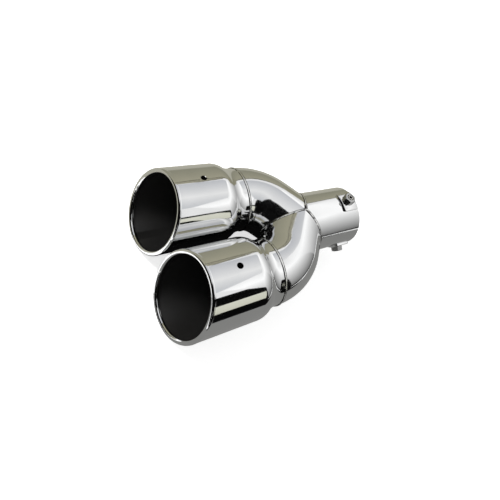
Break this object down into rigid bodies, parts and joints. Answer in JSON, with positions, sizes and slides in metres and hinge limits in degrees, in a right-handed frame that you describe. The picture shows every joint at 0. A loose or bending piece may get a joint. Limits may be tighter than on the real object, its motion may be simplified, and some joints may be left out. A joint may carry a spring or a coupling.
{
  "type": "exhaust tip",
  "caption": "Twin-outlet polished steel exhaust tip: slash-cut cans with rolled lips on elbows that join one round inlet sleeve, which set screws clamp to a tailpipe.",
  "frame": {"origin": "centre of the inlet sleeve's mouth", "axes": "+Y out of the inlet sleeve's mouth, toward the tailpipe; the cans open toward -Y. +Z toward the drain holes and the top clamp. +X toward the right can, as seen along +Y."},
  "size_m": [0.1844, 0.2484, 0.0903],
  "materials": {
    "can_steel": "mirror-polished stainless steel outside, dark inside",
    "tube_steel": "mirror-polished stainless steel outside, dark inside",
    "weld": "polished weld bead",
    "pad_steel": "polished stainless steel",
    "nut_steel": "bright stainless steel",
    "screw_steel": "stainless steel, dark in the key socket"
  },
  "bodies": {
    "tip": {"outlet_can_right": "can_steel", "outlet_can_left": "can_steel", "elbow_right": "tube_steel", "elbow_left": "tube_steel", "inlet_sleeve": "tube_steel", "neck_weld_right": "weld", "neck_weld_left": "weld", "centre_seam_weld": "weld", "sleeve_ring_weld": "weld", "clamp_pad_top": "pad_steel", "clamp_pad_right": "pad_steel", "clamp_pad_left": "pad_steel", "clamp_nut_top": "nut_steel", "clamp_nut_right": "nut_steel", "clamp_nut_left": "nut_steel"},
    "screw_top": {"set_screw_top": "screw_steel"},
    "screw_right": {"set_screw_right": "screw_steel"},
    "screw_left": {"set_screw_left": "screw_steel"}
  },
  "joints": [
    {"name": "screw_top_slide", "type": "slide", "parent": "tip", "child": "screw_top", "axis": [0, 0, -1], "range_m": [0, 0.006]},
    {"name": "screw_right_slide", "type": "slide", "parent": "tip", "child": "screw_right", "axis": [-0.866, 0, 0.5], "range_m": [0, 0.006]},
    {"name": "screw_left_slide", "type": "slide", "parent": "tip", "child": "screw_left", "axis": [0.866, 0, 0.5], "range_m": [0, 0.006]}
  ]
}
